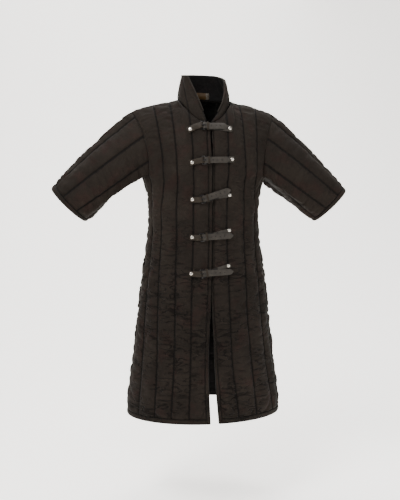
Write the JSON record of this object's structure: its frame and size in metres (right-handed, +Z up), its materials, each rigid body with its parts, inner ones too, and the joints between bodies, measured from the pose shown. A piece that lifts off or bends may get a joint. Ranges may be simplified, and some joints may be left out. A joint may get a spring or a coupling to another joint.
{
  "type": "quilted arming coat",
  "caption": "Knee length quilted arming coat with half sleeves, an open stand collar and strap-and-buckle front.",
  "frame": {"origin": "between the wearer's shoulders, level with the inner ends of the shoulder seams", "axes": "+Z up, the front faces -Y, +X to the wearer's left"},
  "size_m": [1.0231, 0.3727, 1.1695],
  "materials": {
    "quilted_cloth": "matt quilted cotton",
    "bound_strip": "matt cotton, bound and stitched",
    "woven_label": "smooth woven",
    "strap_leather": "waxed",
    "buckle_strap_leather": "waxed",
    "black_steel": "black, satin",
    "nickel": "nickel plated, polished"
  },
  "bodies": {
    "root": {"front_right": "quilted_cloth", "front_left": "quilted_cloth", "back": "quilted_cloth", "sleeve_right": "quilted_cloth", "sleeve_left": "quilted_cloth", "collar": "quilted_cloth", "front_binding_right": "bound_strip", "front_binding_left": "bound_strip", "hem_binding_front_right": "bound_strip", "hem_binding_front_left": "bound_strip", "hem_binding_back": "bound_strip", "cuff_binding_right": "bound_strip", "cuff_binding_left": "bound_strip", "collar_binding": "bound_strip", "neck_label": "woven_label", "strap_1": "strap_leather", "chape_1": "buckle_strap_leather", "buckle_1": "black_steel", "tongue_1": "black_steel", "keeper_1": "buckle_strap_leather", "rivet_chape_1": "nickel", "rivet_strap_1": "nickel", "strap_2": "strap_leather", "chape_2": "buckle_strap_leather", "buckle_2": "black_steel", "tongue_2": "black_steel", "keeper_2": "buckle_strap_leather", "rivet_chape_2": "nickel", "rivet_strap_2": "nickel", "strap_3": "strap_leather", "chape_3": "buckle_strap_leather", "buckle_3": "black_steel", "tongue_3": "black_steel", "keeper_3": "buckle_strap_leather", "rivet_chape_3": "nickel", "rivet_strap_3": "nickel", "strap_4": "strap_leather", "chape_4": "buckle_strap_leather", "buckle_4": "black_steel", "tongue_4": "black_steel", "keeper_4": "buckle_strap_leather", "rivet_chape_4": "nickel", "rivet_strap_4": "nickel", "strap_5": "strap_leather", "chape_5": "buckle_strap_leather", "buckle_5": "black_steel", "tongue_5": "black_steel", "keeper_5": "buckle_strap_leather", "rivet_chape_5": "nickel", "rivet_strap_5": "nickel"}
  },
  "joints": []
}
